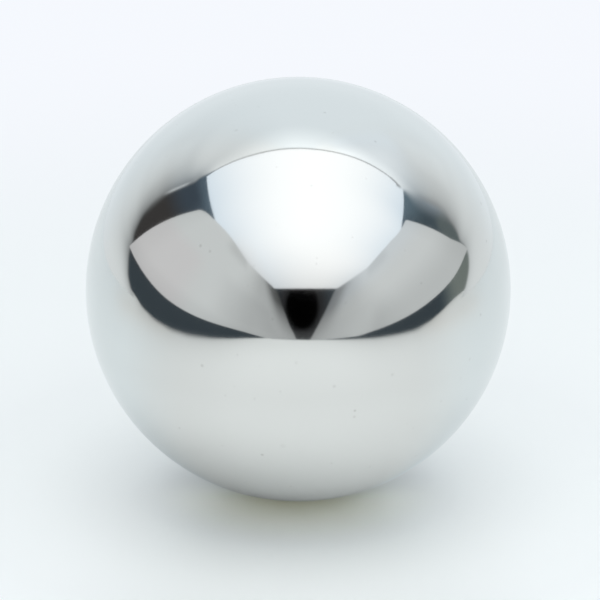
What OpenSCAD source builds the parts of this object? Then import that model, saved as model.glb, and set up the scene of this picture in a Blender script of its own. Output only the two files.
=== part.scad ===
// Polished steel ball: a solid, through-hardened sphere, of the kind that runs in a
// bearing race, seats in a check valve or gauges a bore. It is cold-headed or forged,
// then ground and lapped all over, so it has no flat, seam, hole or mark.
// Millimetres. The origin is the ball's centre and +Z is up.

/* [Ball] */
// Diameter over the lapped surface; 50.8 is the 2 inch stock size
ball_d = 50.8; // [3:0.1:150]

/* [Hidden] */
// Facets round the equator of the mesh drawn here; the exact solid is a true sphere
sphere_facets = 192;

// The whole object: one solid of steel, the same right through
module ball() {
    color("silver")
        sphere(d = ball_d, $fn = sphere_facets);
}

ball();
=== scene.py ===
import bpy
import numpy as np
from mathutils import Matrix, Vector


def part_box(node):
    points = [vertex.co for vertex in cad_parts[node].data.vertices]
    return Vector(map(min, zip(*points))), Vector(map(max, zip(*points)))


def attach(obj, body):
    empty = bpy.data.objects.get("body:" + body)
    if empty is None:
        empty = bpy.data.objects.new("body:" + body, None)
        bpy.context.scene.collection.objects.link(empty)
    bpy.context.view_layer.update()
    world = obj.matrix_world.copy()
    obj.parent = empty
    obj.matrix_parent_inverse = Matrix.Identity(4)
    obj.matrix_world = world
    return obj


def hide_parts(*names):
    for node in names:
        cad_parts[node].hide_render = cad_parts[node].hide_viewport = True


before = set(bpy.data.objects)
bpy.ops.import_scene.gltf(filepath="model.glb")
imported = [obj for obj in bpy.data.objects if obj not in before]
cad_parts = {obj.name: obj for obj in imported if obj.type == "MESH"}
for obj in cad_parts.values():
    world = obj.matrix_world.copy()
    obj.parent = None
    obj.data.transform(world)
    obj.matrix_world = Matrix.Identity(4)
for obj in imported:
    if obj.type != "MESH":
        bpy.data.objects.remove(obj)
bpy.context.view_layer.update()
ball_low, ball_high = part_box("ball")
R = (ball_high.z - ball_low.z) / 2


# ---- The ball ----------------------------------------------------------------------------
# A solid ball of through-hardened bearing steel. It is forged, ground between two plates
# and lapped all over to a mirror, so no seam, flat or tool mark is left on it.

BALL_COLUMNS = 384
BALL_RINGS = 191


def lapped_sphere(radius, columns, rings):
    """Points at radius x (sin a cos b, sin a sin b, cos a): a runs from pole to pole over the
    rings and b once round over the columns. Each pole is one point, fanned to its ring."""
    a = np.linspace(0, np.pi, rings + 2)[1:-1, None]
    b = np.linspace(0, 2 * np.pi, columns, endpoint=False)[None, :]
    x, y = np.sin(a) * np.cos(b), np.sin(a) * np.sin(b)
    body = np.stack([x, y, np.cos(a) + 0 * b], axis=-1).reshape(-1, 3)
    points = radius * np.concatenate([body, [[0, 0, 1], [0, 0, -1]]])
    k = np.arange(rings * columns).reshape(rings, columns)
    right = np.roll(k, -1, axis=1)
    quads = np.stack([k[:-1], k[1:], right[1:], right[:-1]], axis=-1).reshape(-1, 4)
    top, bottom = rings * columns, rings * columns + 1
    cap = np.stack([k[0], right[0], np.full(columns, top)], axis=-1)
    base = np.stack([right[-1], k[-1], np.full(columns, bottom)], axis=-1)
    return points, quads.tolist() + cap.tolist() + base.tolist()


points, faces = lapped_sphere(R, BALL_COLUMNS, BALL_RINGS)
mesh = bpy.data.meshes.new("ball_skin")
mesh.from_pydata(points.tolist(), [], faces)
mesh.shade_smooth()
mesh.normals_split_custom_set_from_vertices((points / R).tolist())
ball = bpy.data.objects.new("ball_skin", mesh)
bpy.context.collection.objects.link(ball)


def node_maker(owner):
    """Empties the node tree of a material or world. The function that it returns adds a node
    and sets its inputs by name, or links them where the value is another node's output."""
    owner.use_nodes = True
    tree = owner.node_tree
    tree.nodes.clear()

    def node(kind, inputs=(), **settings):
        made = tree.nodes.new(kind)
        for key, value in settings.items():
            setattr(made, key, value)
        for key, value in dict(inputs).items():
            if isinstance(value, bpy.types.NodeSocket):
                tree.links.new(value, made.inputs[key])
            else:
                made.inputs[key].default_value = value
        return made

    return node


STEEL = (0.76, 0.79, 0.785, 1)
STEEL_PIT = (0.16, 0.16, 0.15, 1)
DUST = (0.80, 0.80, 0.78, 1)
# the marks that can be seen: longitude from the front and latitude in degrees, radius in
# ball radii and depth of tone
MARKS = (
    (25.5, 73.5, 0.010, 0.15), (-40.5, 64, 0.012, 0.08), (43.5, 59, 0.009, 0.15),
    (77.5, 29.5, 0.014, 0.09), (69, 21, 0.009, 0.16), (57.5, 4, 0.009, 0.20),
    (-30.5, 29, 0.011, 0.17), (-27, 28, 0.010, 0.13), (-26, -2.5, 0.011, 0.21),
    (-0.5, 0.5, 0.011, 0.08), (25.5, -5, 0.011, 0.12), (50, -12, 0.013, 0.05),
    (9.5, -6.5, 0.011, 0.15), (15.5, -14.5, 0.009, 0.27), (15.5, -16.5, 0.010, 0.16),
    (-11, -30, 0.011, 0.25), (-4.5, -26, 0.018, 0.07),
)
# the finer ones are strewn: cells of the pattern in one ball radius, speck radius in ball
# radii and depth of tone
FINE_PITS = (6.0, 0.008, 0.10)
DUST_SPECKS = (9.0, 0.008, 0.10)
# the share of a speck's radius that has its full depth
SPECK_CORE = 0.3
# a faint haze varies the polish: the cells of its noise in one ball radius and its detail, the
# span of the noise that counts, and the roughness at the two ends of that span
HAZE_SCALE = 2.6
HAZE_DETAIL = 3.0
HAZE_RANGE = (0.3, 0.7)
ROUGHNESS = (0.048, 0.068)

steel = bpy.data.materials.new("lapped_steel")
node = node_maker(steel)
place = node("ShaderNodeTexCoord")
unit = node("ShaderNodeVectorMath", {0: place.outputs["Object"], "Scale": float(1 / R)}, operation="SCALE")


def speck(distance, radius, depth):
    """The depth in the core of a speck, falling straight to 0 at its radius."""
    return node("ShaderNodeMapRange", {
        "Value": distance, "From Min": radius, "From Max": SPECK_CORE * radius, "To Max": depth,
    }).outputs["Result"]


def strewn(scale, radius, depth):
    """Round specks where a random point of a Voronoi pattern lies close to the surface."""
    cells = node("ShaderNodeTexVoronoi", {"Vector": unit.outputs["Vector"], "Scale": scale})
    return speck(cells.outputs["Distance"], radius * scale, depth)


pits = strewn(*FINE_PITS)
for longitude, latitude, radius, depth in MARKS:
    b, a = np.radians(longitude), np.radians(latitude)
    spot = (np.sin(b) * np.cos(a), -np.cos(b) * np.cos(a), np.sin(a))
    away = node("ShaderNodeVectorMath", {0: unit.outputs["Vector"], 1: spot}, operation="DISTANCE")
    mark = speck(away.outputs["Value"], radius, depth)
    pits = node("ShaderNodeMath", {0: pits, 1: mark}, operation="MAXIMUM").outputs["Value"]
dust = strewn(*DUST_SPECKS)
bare = node("ShaderNodeMix", {"Factor": pits, "A": STEEL, "B": STEEL_PIT}, data_type="RGBA")
colour = node("ShaderNodeMix", {"Factor": dust, "A": bare.outputs["Result"], "B": DUST}, data_type="RGBA")
metallic = node("ShaderNodeMath", {0: 1.0, 1: dust}, operation="SUBTRACT")
haze = node("ShaderNodeTexNoise", {
    "Vector": unit.outputs["Vector"], "Scale": HAZE_SCALE, "Detail": HAZE_DETAIL,
})
polish = node("ShaderNodeMapRange", {
    "Value": haze.outputs["Fac"], "From Min": HAZE_RANGE[0], "From Max": HAZE_RANGE[1],
    "To Min": ROUGHNESS[0], "To Max": ROUGHNESS[1],
})
shader = node("ShaderNodeBsdfPrincipled", {
    "Base Color": colour.outputs["Result"],
    "Metallic": metallic.outputs["Value"],
    "Roughness": polish.outputs["Result"],
})
node("ShaderNodeOutputMaterial", {"Surface": shader.outputs["BSDF"]})
mesh.materials.append(steel)

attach(ball, "root")
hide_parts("ball")


# ---- The soft light ----------------------------------------------------------------------
# A white diffuser hung level, ten radii over the ball, with its lamp above the middle. It is
# the white window in the top of the ball, brightest in the middle and bluer at its sides.
# From here on the stage is laid out in ball radii.

def smooth(x, low, high):
    """0 below low, 1 above high and the cubic 3t^2 - 2t^3 between them."""
    t = np.clip((x - low) / (high - low), 0, 1)
    return t * t * (3 - 2 * t)


def hump(x, middle, width):
    """The bell curve e^-t^2, where t is the distance from the middle in widths."""
    return np.exp(-((x - middle) / width) ** 2)


def tint(mask, colour=(1, 1, 1)):
    """A mask times a colour."""
    return mask[..., None] * np.array(colour)


def grid(rows, columns):
    """Two parameters on a grid: v from 0 to 1 down the rows, u from 0 to 1 along each row."""
    v = np.linspace(0, 1, rows)[:, None] + np.zeros((1, columns))
    u = np.linspace(0, 1, columns)[None, :] + np.zeros((rows, 1))
    return u, v


def glowing(name):
    """Emits a sheet's light to the rays that the ball mirrors and its fill to the table, and
    is clear where the fourth channel of the light is low."""
    material = bpy.data.materials.new(name)
    node = node_maker(material)
    tone = node("ShaderNodeAttribute", attribute_name="light")
    spread = node("ShaderNodeAttribute", attribute_name="fill")
    ray = node("ShaderNodeLightPath")
    seen = node("ShaderNodeMix", {
        "Factor": ray.outputs["Is Diffuse Ray"], "A": tone.outputs["Color"], "B": spread.outputs["Color"],
    }, data_type="RGBA")
    glow = node("ShaderNodeEmission", {"Color": seen.outputs["Result"]})
    clear = node("ShaderNodeBsdfTransparent")
    mix = node("ShaderNodeMixShader", {
        "Fac": tone.outputs["Alpha"], 1: clear.outputs["BSDF"], 2: glow.outputs["Emission"],
    })
    node("ShaderNodeOutputMaterial", {"Surface": mix.outputs["Shader"]})
    return material


def stage_sheet(name, points, light, fill=(0, 0, 0), material=None):
    """A sheet from a grid of points. Light is what the ball mirrors at each point and, as a
    fourth channel, how solid it is; fill is what lights the table. The camera sees neither."""
    rows, columns = points.shape[:2]
    k = np.arange(rows * columns).reshape(rows, columns)
    quads = np.stack([k[:-1, :-1], k[1:, :-1], k[1:, 1:], k[:-1, 1:]], axis=-1)
    sheet_mesh = bpy.data.meshes.new(name)
    sheet_mesh.from_pydata((R * points).reshape(-1, 3).tolist(), [], quads.reshape(-1, 4).tolist())
    for key, value in (("light", light), ("fill", fill)):
        rgba = np.ones((rows, columns, 4), np.float32)
        rgba[..., :np.shape(value)[-1]] = value
        sheet_mesh.attributes.new(key, "FLOAT_COLOR", "POINT").data.foreach_set("color", rgba.ravel())
    sheet_mesh.materials.append(material or glowing(name))
    sheet = bpy.data.objects.new(name, sheet_mesh)
    bpy.context.collection.objects.link(sheet)
    sheet.visible_camera = False
    return sheet


LIGHT_HEIGHT = 10.0
# left edge, right edge and y of its rear and of its front
LIGHT_REAR = (-8.09, 10.28, 1.62)
LIGHT_FRONT = (-14.4, 27.0, -27.0)
LIGHT_EDGE = np.array([0.62, 0.75, 0.88])
LIGHT_LAMP = np.array([0.70, 0.55, 0.42])
LIGHT_WARM = np.array([1.0, 0.95, 0.91])
LIGHT_FILL = (1.5, 1.5, 1.5)

# level points (x, y): x from the left edge to the right over u, y from rear to front over v
u, v = grid(60, 90)
left, right, y = [rear + v * (front - rear) for rear, front in zip(LIGHT_REAR, LIGHT_FRONT)]
x = left + u * (right - left)
# the lamp is a bell curve over x, further right and wider at the front, where it also dims
lamp_x = 1 + 3 * smooth(-y, 8, 16)
left_spread = 9 + smooth(-y, 1, 5) + 4.5 * smooth(-y, 7, 16)
right_spread = 10 + 4 * smooth(-y, 1, 5)
lamp = hump(x, lamp_x, np.where(x < lamp_x, left_spread, right_spread))
light = (LIGHT_EDGE + tint(lamp, LIGHT_LAMP)) * tint(1 - 0.3 * smooth(-y, 6, 30))
# its front left side is darker and less blue
light *= LIGHT_WARM ** tint(smooth(-x, 5, 9) * smooth(-y, 5, 12))
light *= 1 - tint(0.16 * smooth(-x, 7.5, 9) * smooth(-y, 7, 12))
stage_sheet("soft_light", np.stack([x, y, LIGHT_HEIGHT + 0 * x], axis=-1), light, LIGHT_FILL)


# ---- The side cards ----------------------------------------------------------------------
# Two reflectors of stiff grey card, held on either side of the lens, drawn as glowing sheets
# with their light and shade painted on. Each leans out, slopes down until its front is just
# over the table, and its painted shade deepens towards the lens.

def band(x, start, full, fall, end):
    """0 below start, 1 from full to fall and 0 again above end, with smooth flanks."""
    return smooth(x, start, full) * (1 - smooth(x, fall, end))


# a card's lower rear corner, the way up its rear edge and the way along its foot
CARD_LEFT = ((-2.405, 0.186, 0.564), (-1.49, -1.52, 3.63), (2.43, -7.47, -1.56))
CARD_RIGHT = ((2.55, 0.15, 0.54), (1.75, -1.22, 2.74), (-2.22, -6.40, -1.54))
CARD_GREY = np.array([1, 1.01, 1.01])


def side_card(name, plane, low_edge, top_edge, tone, front, lean=0.0, corner=0.0):
    """Points low_rear + s up + t along, for t from 0 to front and s from low_edge(t) to
    top_edge(t). The foot runs out by corner at the rear; the front edge leans back by lean."""
    low_rear, up, along = np.array(plane)
    u, v = grid(120, 80)
    t = front * v
    low, high = low_edge(t), top_edge(t)
    s = low + u * (high - low)
    foot = corner * (1 - smooth(s, 0.05, 0.2)) * (1 - v) ** 6
    bent = t - foot - lean * smooth(s, 0.15, 0.35) * v ** 6
    points = low_rear + tint(s, up) + tint(bent, along)
    # the card's painted light and shade, a little darker at its rear
    light = tone(s, t) * tint(0.93 + 0.07 * smooth(t, 0, 0.1), CARD_GREY)
    card = stage_sheet(name, points, light)
    card.visible_diffuse = False


def left_low(t):
    """The foot of the left card: it dips, rises, and from its bend at 0.57 climbs to the front
    as the power 0.8 of the distance."""
    foot = 0.008 - 0.0155 * smooth(t, 0.05, 0.2) + 0.025 * smooth(t, 0.21, 0.45)
    return foot + 0.072 * (np.clip(t - 0.57, 0, None) / 0.43) ** 0.8 - 0.008 * smooth(t, 0.57, 0.62)


def left_top(t):
    """Its top edge: a slow cosine wave, rounded off at the rear corner, and straight up to the
    front from 0.49."""
    rear = 1 + 0.055 * np.cos(12.6 * (t - 0.26)) - 0.14 * np.exp(-t / 0.03)
    return np.where(t < 0.49, rear, 0.945 + 0.25 * (t - 0.49))


def left_tone(s, t):
    """Painted light and shade on the card: a smooth step of painted shade a third of the way along,
    which slants forwards up the card, then a straight fall to the front, deepest near the top.
    The foot is darker, pinkish at the rear."""
    tone = 0.70 - 0.16 * smooth(t - 0.25 * s, 0.24, 0.46) - 0.35 * np.clip(t - 0.5, 0, None)
    tone -= 0.5 * smooth(t, 0.65, 0.85) * np.clip(s - 0.12, 0, 0.6)
    tone -= 0.10 * smooth(s, 0.65, 0.9) * band(t, 0.24, 0.34, 0.44, 0.5)
    tone -= 0.04 * band(s, 0.04, 0.1, 0.3, 0.5) * band(t, 0.28, 0.36, 0.6, 0.72)
    tone *= 0.90 + 0.10 * smooth(s, 0, 0.1)
    pink = (1 - smooth(s, 0.28, 0.45)) * (1 - smooth(t, 0.17, 0.26))
    return tint(tone) * (1 - tint(0.045 * pink, (0, 1, 0.85)))


def right_low(t):
    """The foot of the right card: it falls and rises a little, then is straight up to the front
    from 0.48."""
    foot = 0.008 * (1 - smooth(t, 0.03, 0.12)) + 0.011 * smooth(t, 0.26, 0.46)
    return foot + 0.29 * np.clip(t - 0.48, 0, None)


def right_top(t):
    """Its top edge: it falls, rises and falls a little, then is straight up to the front."""
    rear = 1 + 0.05 * (1 - smooth(t, 0, 0.12)) + 0.035 * smooth(t, 0.13, 0.22) - 0.02 * smooth(t, 0.36, 0.46)
    return rear + 0.70 * np.clip(t - 0.48, 0, None)


def right_tone(s, t):
    """The same painted step and fall of shade; darker down to the rear foot and bluer at the top."""
    tone = 0.70 - 0.12 * smooth(t - 0.25 * s, 0.24, 0.46) - 0.40 * np.clip(t - 0.5, 0, None)
    tone -= 0.3 * smooth(t, 0.65, 0.85) * np.clip(s - 0.12, 0, 0.6)
    tone -= 0.07 * smooth(s, 0.65, 0.9) * band(t, 0.24, 0.34, 0.44, 0.5)
    foot = 0.15 * (1 - smooth(s, 0.06, 0.36)) * (1 - smooth(t, 0.38, 0.46))
    tone *= 1 - foot + 0.02 * smooth(s, 0.3, 0.4)
    return tint(tone) * (1 + tint(0.06 * smooth(s, 0.4, 0.9), (0, 0.4, 1)))


side_card("card_left", CARD_LEFT, left_low, left_top, left_tone, front=1.0, lean=0.036)
side_card("card_right", CARD_RIGHT, right_low, right_top, right_tone, front=0.985, corner=0.013)


# ---- The tent ----------------------------------------------------------------------------
# White cloth hung round the sides and the back, from the table up to the rear of the soft
# light, drawn as a glowing sheet with its light and shade painted on. Its two front hems end
# in painted shadow, and painted light from the soft light brightens it overhead.

TENT_RADIUS = 12.0
# in degrees: the lowest edge, how far it goes round on each side, the slit under the light
TENT_LOW = -5.2
TENT_SIDE = 96.0
TENT_GAP = 0.1
# the cloth follows the light's straight rear edge between these two angles, and laps this far
# under it at the middle
TENT_STRAIGHT = (-79.5, 81.5)
TENT_LAP = 0.32
TENT_CLOTH = np.array([0.87, 0.92, 0.955])
TENT_SHADE = np.array([0.80, 0.815, 0.82])
TENT_GLOW = np.array([1.03, 1.0, 0.96])
# the painted glow under the light and its reach in degrees, and the depth of the painted
# crease shade there
TENT_BRIGHT = 0.36
TENT_BRIGHT_REACH = 19.0
TENT_CREASE_SHADE = 0.68
TENT_FILL = (0.94, 0.94, 0.95)
# a painted highlight on the fold of one hem, and painted light along the other
HEM_FOLD_HIGHLIGHT = 0.5
HEM_THROUGH_GLOW = np.array([0.105, 0.145, 0.19])


def left_hem(el):
    """The hem's angle from the back at the height el, half its softness, and the depth and the
    reach of the shadow on the cloth beside it: all in degrees but the depth, and each a sum
    of smooth steps and bell curves up the hem."""
    edge = 69.2 + 8.9 * smooth(el, 22, 48) + 16.8 * (np.clip(20 - el, 0, None) / 25) ** 2.6
    edge += 0.9 * band(el, 0, 4, 14, 20) + 1.6 * hump(el, 10, 2)
    edge += 0.4 * hump(el, 22, 3) - 1.2 * smooth(el, 45, 48)
    softness = 1.4 + 2.0 * hump(el, 26, 6)
    depth = 0.6 + 0.28 * hump(el, 18, 8) + 0.13 * hump(el, 10, 4)
    depth += 0.19 * smooth(el, 25, 33) - 0.6 * smooth(el, 46, 56)
    reach = 4 + 4 * smooth(el, 1, 8) + 4.7 * smooth(el, 14, 30)
    reach += 5 * smooth(el, 50, 57) - 6.5 * smooth(el, 40, 49)
    return edge, softness, depth, reach


def right_hem(el):
    """The same for the other hem, which is softer half way up."""
    edge = 72.8 + 10 * smooth(el, 16, 40) + 14 * (np.clip(6.5 - el, 0, None) / 11.5) ** 1.5
    edge += band(el, 6, 12, 18, 24) + 1.1 * hump(el, 12, 1.8)
    softness = 1.5 + 7.5 * band(el, 17, 29, 33, 46)
    depth = 0.25 + 0.3 * smooth(el, 4, 13) + 0.14 * smooth(el, 13, 18)
    depth -= 0.05 * smooth(el, 18, 26) + 0.56 * smooth(el, 34, 50)
    reach = 4 + 2.5 * smooth(el, 3, 9) + 6 * smooth(el, 12, 32) - 6 * smooth(el, 40, 52)
    return edge, softness, depth, reach


# where each strip of cloth, going up from the table, meets the light's rear edge
u, v = grid(220, 320)
side = (2 * u - 1) * TENT_SIDE
straight = np.radians(np.clip(side, *TENT_STRAIGHT))
along = (LIGHT_REAR[2] - TENT_LAP) * np.tan(straight)
lap = TENT_LAP - 0.22 * smooth(along, 0.8, 5) + 0.15 * smooth(along, 6.5, 8.7)
lap -= 0.32 * smooth(-along, 2.5, 6.5)
rim_across = (LIGHT_REAR[2] - lap) / np.cos(straight)
rim = np.degrees(np.arctan2(LIGHT_HEIGHT, rim_across)) - TENT_GAP
# radius x (sin b cos a, cos b cos a, sin a): b goes round from the back, a up to the rim, and
# the radius grows from the tent's to the light's edge
el = TENT_LOW + v * (rim - TENT_LOW)
b, a = np.radians(side), np.radians(el)
radius = TENT_RADIUS + (np.hypot(LIGHT_HEIGHT, rim_across) - TENT_RADIUS) * smooth(v, 0.6, 1)
points = tint(radius) * np.stack([np.sin(b) * np.cos(a), np.cos(b) * np.cos(a), np.sin(a)], axis=-1)

# the cloth's painted light is greyer to the sides, darker left of the middle and in a strip
# over the table, and paler in a patch on each side and at the upper right, where it is also
# bluer
cloth = TENT_CLOTH + tint(smooth(abs(side), 25, 65), TENT_SHADE - TENT_CLOTH)
cloth -= tint(0.04 * band(-side, 5, 35, 35, 60))
cloth -= tint((0.02 + 0.03 * smooth(-side, 40, 60)) * band(el, -2, 4, 7, 16))
cloth *= 1 + tint(0.05 * band(abs(side), 36, 46, 54, 62) * band(el, 18, 24, 34, 42))
cloth *= 1 + tint(smooth(side, 30, 50) * band(el, 36, 46, 68, 76), (0.03, 0.055, 0.09))
cloth *= 1 + tint(0.10 * smooth(side, 48, 64) * smooth(el, 43, 54))
tone, cover = np.ones_like(cloth), smooth(el, TENT_LOW, -4.4)
for hem, half, cool in ((left_hem, -1, 0.1), (right_hem, 1, 0.2)):
    edge, softness, depth, reach = hem(el)
    inside = edge - half * side
    shade = 1 - depth * np.exp(-np.clip(inside, 0, None) / reach)
    # the shadow turns blue towards the light
    tone *= tint(shade) ** (1 - tint(cool * smooth(el, 28, 40), (0, 0.5, 1)))
    cover *= smooth(inside, -softness, softness)
    if hem is left_hem:
        # a painted highlight: the fold of this hem catches the light near the top
        fold = HEM_FOLD_HIGHLIGHT * hump(inside, 0.9, 0.8) * band(el, 29, 35, 40, 44)
    else:
        # and painted light along the other hem stands for a little light let through it
        through = hump(el, 29.5, 5.5) * (1 - smooth(inside, 0, 4))
# painted light makes the cloth brightest next to the light, and painted shade marks a crease
# where it is fastened to it
glow = TENT_BRIGHT * np.clip(1 - (rim - el) / TENT_BRIGHT_REACH, 0, None) ** 1.5
glow *= 1 - 0.2 * smooth(-side, 60, 76)
glow *= (1 + 0.35 * smooth(side, 28, 48)) * (1 - 0.5 * smooth(side, 64, 78))
crease = TENT_CREASE_SHADE * (1 - smooth((rim - el) * np.maximum(np.cos(b), 0.33), 0.5, 0.95))
light = cloth * tone + tint(glow, TENT_GLOW) + tint(fold) + tint(through, HEM_THROUGH_GLOW)
light *= 1 - tint(crease)
stage_sheet("tent", points, np.concatenate([light, cover[..., None]], axis=-1), TENT_FILL)


# ---- The room ----------------------------------------------------------------------------
# The dark room beyond the tent, as a sphere round the whole stage, with the black camera and
# its lens between the cards.

ROOM_RADIUS = 40.0
ROOM_FRONT = np.array([0.046, 0.058, 0.068])
ROOM_LEFT = np.array([0.048, 0.044, 0.043])
ROOM_RIGHT = np.array([0.064, 0.086, 0.102])
ROOM_ABOVE = np.array([0.052, 0.068, 0.088])
ROOM_LAMP = np.array([0.045, 0.065, 0.080])
ROOM_WALL = np.array([0.12, 0.12, 0.09])
ROOM_FILL = (0.96, 0.96, 0.96)
CAMERA_BODY = np.array([0.027, 0.027, 0.029])
# azimuth and height of the lens's middle, and its half width and half height
LENS = (2, 11)
LENS_HALF = (10, 14.5)

# radius x (sin b cos a, -cos b cos a, sin a): b goes round from the front, a from the bottom
# to the top
u, v = grid(361, 721)
el = -90 + 180 * v
az = -180 + 360 * u
a, b = np.radians(el), np.radians(az)
points = ROOM_RADIUS * np.stack([np.sin(b) * np.cos(a), -np.cos(b) * np.cos(a), np.sin(a)], axis=-1)
# warmer on the left, bluer overhead and on the right
light = ROOM_FRONT + tint(smooth(-az, 60, 95) * smooth(el, 3, 12), ROOM_LEFT - ROOM_FRONT)
light += (ROOM_ABOVE - light) * tint(smooth(el, 28, 40))
light += (ROOM_RIGHT - light) * tint(smooth(az, 76, 92))
# a paler wall low down on the right
light += tint(smooth(az, 80, 95) * (1 - smooth(el, 3, 14)), ROOM_WALL)
light += tint(0.45 * smooth(az, 95, 101) * band(el, 8, 14, 22, 27), ROOM_WALL)
# the light's own frame catches some of it along both sides
left_frame = smooth(el, 43, 49) + 0.75 * smooth(el, 38, 45) * smooth(az, -93, -76)
light += tint(np.where(az < 0, left_frame, 1.5 * smooth(el, 28, 41)), ROOM_LAMP)
# the camera's body is nearly black, its lens quite, and the paper's end shows under it
lens = np.hypot((az - LENS[0]) / LENS_HALF[0], (el - LENS[1]) / LENS_HALF[1])
light = CAMERA_BODY + (light - CAMERA_BODY) * tint(smooth(lens, 1.0, 1.9))
light *= tint(smooth(lens, 0.74, 1.04))
light += tint(0.025 * smooth(-el, 0, 5) * (1 - smooth(abs(az), 15, 25)))
stage_sheet("room", points, light, ROOM_FILL)


# ---- The table ---------------------------------------------------------------------------
# Smooth white paper on a white table. The table is what the camera sees; the paper is what
# the ball mirrors, a tongue towards the lens that ends ten radii in front.

# azimuth in degrees from the front, and the paper's reach there
PAPER_REACH = ((-100, 18), (-88, 10), (-78, 7.6), (-66, 6.5), (-54, 6.4), (-42, 7.1), (-33, 8.1), (-25, 9.4),
               (-16, 10.6), (-8, 11.1), (2, 10.0), (13, 9.6), (25, 8.7), (38, 7.7), (50, 7.3), (61, 7.2),
               (71, 8.8), (79, 11.4), (91, 18))
# its grid goes on this far past the edge
PAPER_PAST = 2.4
PAPER_FRONT = np.array([0.783, 0.792, 0.785])
PAPER_SIDE = np.array([0.78, 0.825, 0.84])
PAPER_WARM = np.array([1.0, 0.96, 0.93])
PAPER_DROP = 0.0008

# r x (sin b, -cos b) on the table: b goes round from the front, and r from 0 to past the
# reach there as the power 1.5 of v
u, v = grid(200, 361)
az = -180 + 360 * u
turn = abs(az)
stations, reach = np.array(PAPER_REACH, float).T
# a smooth window, eight degrees wide, rounds the corners of its outline
window = np.hanning(9) / np.hanning(9).sum()
reach = np.pad(np.interp(az[0], stations, reach), 4, mode="edge")
reach = np.convolve(reach, window, mode="valid")[None, :] + 0 * az
r = v ** 1.5 * (reach + PAPER_PAST)
b = np.radians(az)
points = np.stack([r * np.sin(b), -r * np.cos(b), -1 - PAPER_DROP + 0 * r], axis=-1)

# darker along its edge and in front, paler at the back
edge = (0.12 + 0.22 * smooth(turn, 12, 40)) * (1 - smooth(turn, 88, 100))
tone = 1 - edge * np.exp(-np.clip(reach - r, 0, None) / 2.2)
front, behind = 1 - smooth(turn, 90, 120), smooth(turn, 100, 150)
tone *= 1 - 0.09 * smooth(r, 2.5, 8) * front + 0.05 * smooth(r, 5, 9) * behind
# painted light under the ball, stronger to its right, and painted shade to its left
under = 0.115 * (1 - smooth(r, 0.9, 2.1)) + 0.05 * (1 - smooth(r, 0.2, 0.45))
tone *= 1 + under + 0.14 * np.sin(b) * (1 - smooth(r, 0.5, 1.3))
# a faint darkening at the sides further out, and painted shade close beside and behind the ball
tone *= 1 - 0.03 * smooth(r, 1.8, 3.5) * band(turn, 50, 75, 115, 140)
tone *= 1 - 0.05 * (1 - smooth(r, 1, 1.7)) * smooth(turn, 60, 90)
fade = 0.35 + 0.55 * smooth(turn, 8, 25) + 0.25 * band(turn, 32, 46, 60, 75)
cover = 1 - smooth((r - reach) / fade, -1, 1)
# past its edge the bare table is a little lighter than the room
beyond = 0.1 * smooth(-az, 15, 28) + 0.04 * smooth(az, 15, 28)
beyond *= (1 - smooth(r - reach, 0.3, 2.2)) * (1 - smooth(turn, 60, 75))
cover = np.maximum(cover, beyond)
white = PAPER_FRONT + tint(smooth(turn, 50, 100), PAPER_SIDE - PAPER_FRONT)
white *= PAPER_WARM ** tint(smooth(r, 3, 7) * band(turn, 55, 75, 95, 115))

matt_paper = bpy.data.materials.new("paper")
node = node_maker(matt_paper)
colour = node("ShaderNodeAttribute", attribute_name="light")
matt = node("ShaderNodeBsdfDiffuse", {"Color": colour.outputs["Color"]})
clear = node("ShaderNodeBsdfTransparent")
mix = node("ShaderNodeMixShader", {
    "Fac": colour.outputs["Alpha"], 1: clear.outputs["BSDF"], 2: matt.outputs["BSDF"],
})
node("ShaderNodeOutputMaterial", {"Surface": mix.outputs["Shader"]})
light = np.concatenate([white * tint(tone), cover[..., None]], axis=-1)
paper = stage_sheet("paper", points, light, material=matt_paper)
paper.visible_shadow = False
paper.visible_diffuse = False

TABLE_HALF = 120.0
TABLE_WHITE = (0.875, 0.925, 0.935, 1)
# painted shade, a painted ring of light and a painted warm glow round the ball's foot
TABLE_SHADE = (0.66, 0.69, 0.69, 1)
TABLE_RING_LIGHT = (0.93, 0.985, 0.99, 1)
TABLE_SPILL_LIGHT = (0.125, 0.122, 0.07, 1)
TABLE_SHEEN = 0.3
SHEEN_ROUGHNESS = 0.45
# where each starts and where it is full: out from the ball's centre, but the spill along Y
SHADE_RANGE = (1.26, 1.0)
SPILL_RANGE = (0.15, -0.25)
RING_INNER = (1.15, 1.3)
RING_OUTER = (2.0, 1.55)
FAR_RANGE = (3.0, 7.0)
ROOM_WHITE = (0.916, 0.942, 0.990, 1)
ROOM_DARK = (0.05, 0.06, 0.07, 1)

white_table = bpy.data.materials.new("table")
node = node_maker(white_table)
where = node("ShaderNodeTexCoord")
axes = node("ShaderNodeSeparateXYZ", {"Vector": where.outputs["Object"]})
length = node("ShaderNodeVectorMath", {0: where.outputs["Object"]}, operation="LENGTH")


def ramp(value, start, full, top=1.0):
    """0 up to start and top from full on, smooth between them, both in ball radii."""
    return node("ShaderNodeMapRange", {
        "Value": value, "From Min": float(start * R), "From Max": float(full * R), "To Max": top,
    }, interpolation_type="SMOOTHSTEP").outputs["Result"]


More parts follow.
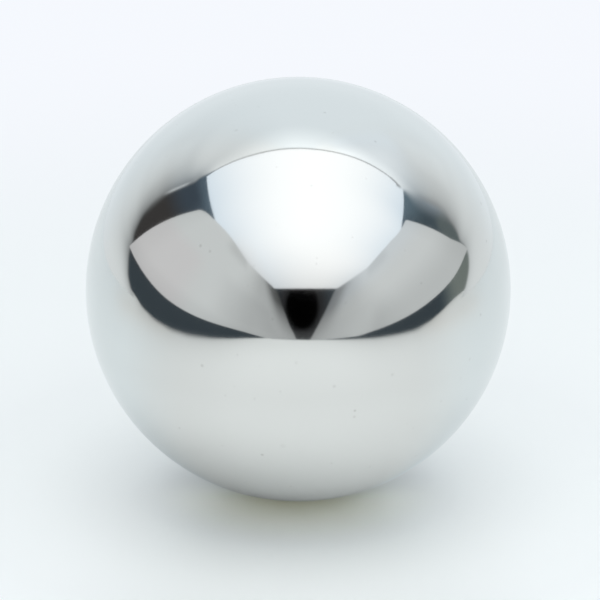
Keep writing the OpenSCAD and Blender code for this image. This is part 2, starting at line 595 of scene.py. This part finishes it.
# painted light and shade round the ball's foot: a painted warm glow in front of it, painted
# shade on the table beside and behind it, and a painted ring of light round it that stands for
# light back from the ball
close = ramp(length.outputs["Value"], *SHADE_RANGE)
ahead = ramp(axes.outputs["Y"], *SPILL_RANGE, top=close)
painted_shade_mask = node("ShaderNodeMath", {0: close, 1: ahead}, operation="SUBTRACT")
past_foot = ramp(length.outputs["Value"], *RING_INNER)
ring = ramp(length.outputs["Value"], *RING_OUTER, top=past_foot)
shaded = node("ShaderNodeMix", {
    "Factor": painted_shade_mask.outputs["Value"], "A": TABLE_WHITE, "B": TABLE_SHADE,
}, data_type="RGBA")
lit = node("ShaderNodeMix", {
    "Factor": ring, "A": shaded.outputs["Result"], "B": TABLE_RING_LIGHT,
}, data_type="RGBA")
matt = node("ShaderNodeBsdfDiffuse", {"Color": lit.outputs["Result"]})
sheen = node("ShaderNodeBsdfGlossy", {"Color": (1, 1, 1, 1), "Roughness": SHEEN_ROUGHNESS})
satin = node("ShaderNodeMixShader", {"Fac": TABLE_SHEEN, 1: matt.outputs["BSDF"], 2: sheen.outputs["BSDF"]})
# the painted warm glow is light that the table itself gives off
spill = node("ShaderNodeEmission", {"Color": TABLE_SPILL_LIGHT, "Strength": ahead})
near = node("ShaderNodeAddShader", {0: satin.outputs["Shader"], 1: spill.outputs["Emission"]})
# far off it runs into the white of the room
far = node("ShaderNodeEmission", {"Color": ROOM_WHITE})
mix = node("ShaderNodeMixShader", {
    "Fac": ramp(length.outputs["Value"], *FAR_RANGE), 1: near.outputs["Shader"], 2: far.outputs["Emission"],
})
node("ShaderNodeOutputMaterial", {"Surface": mix.outputs["Shader"]})

u, v = grid(2, 2)
points = np.stack([(2 * u - 1) * TABLE_HALF, (1 - 2 * v) * TABLE_HALF, -1 + 0 * u], axis=-1)
table = stage_sheet("table", points, np.ones((2, 2, 3)), material=white_table)
table.visible_camera = True
table.visible_glossy = False
table.visible_diffuse = False
table.visible_shadow = False

world = bpy.data.worlds.new("room")
bpy.context.scene.world = world
node = node_maker(world)
ray = node("ShaderNodeLightPath")
backdrop = node("ShaderNodeMix", {
    "Factor": ray.outputs["Is Camera Ray"], "A": ROOM_DARK, "B": ROOM_WHITE,
}, data_type="RGBA")
background = node("ShaderNodeBackground", {"Color": backdrop.outputs["Result"]})
node("ShaderNodeOutputWorld", {"Surface": background.outputs["Background"]})


# ---- The camera --------------------------------------------------------------------------
# A long lens twenty-five ball radii away, twenty degrees above the table. The ball fills
# seven tenths of the frame's width and sits a little above its middle.

IMAGE = 600
BALL_PX = 212.4
BALL_LEFT_PX = 1.8
BALL_UP_PX = 10.8
DISTANCE = 25 * R
ELEVATION = np.radians(20)
focal_px = BALL_PX / np.tan(np.arcsin(R / DISTANCE))
camera_data = bpy.data.cameras.new("camera")
camera_data.sensor_width = 36
camera_data.lens = focal_px / IMAGE * camera_data.sensor_width
camera_data.clip_start = 0.01
camera_data.clip_end = 100
camera = bpy.data.objects.new("camera", camera_data)
bpy.context.collection.objects.link(camera)
back = Vector((0, -np.cos(ELEVATION), np.sin(ELEVATION)))
right = Vector((1, 0, 0))
up = back.cross(right)
aim = (BALL_LEFT_PX * right - BALL_UP_PX * up) * float(DISTANCE / focal_px)
camera.location = back * DISTANCE
camera.rotation_mode = "QUATERNION"
camera.rotation_quaternion = (camera.location - aim).to_track_quat("Z", "Y")
bpy.context.scene.camera = camera
bpy.context.scene.view_settings.view_transform = "Standard"
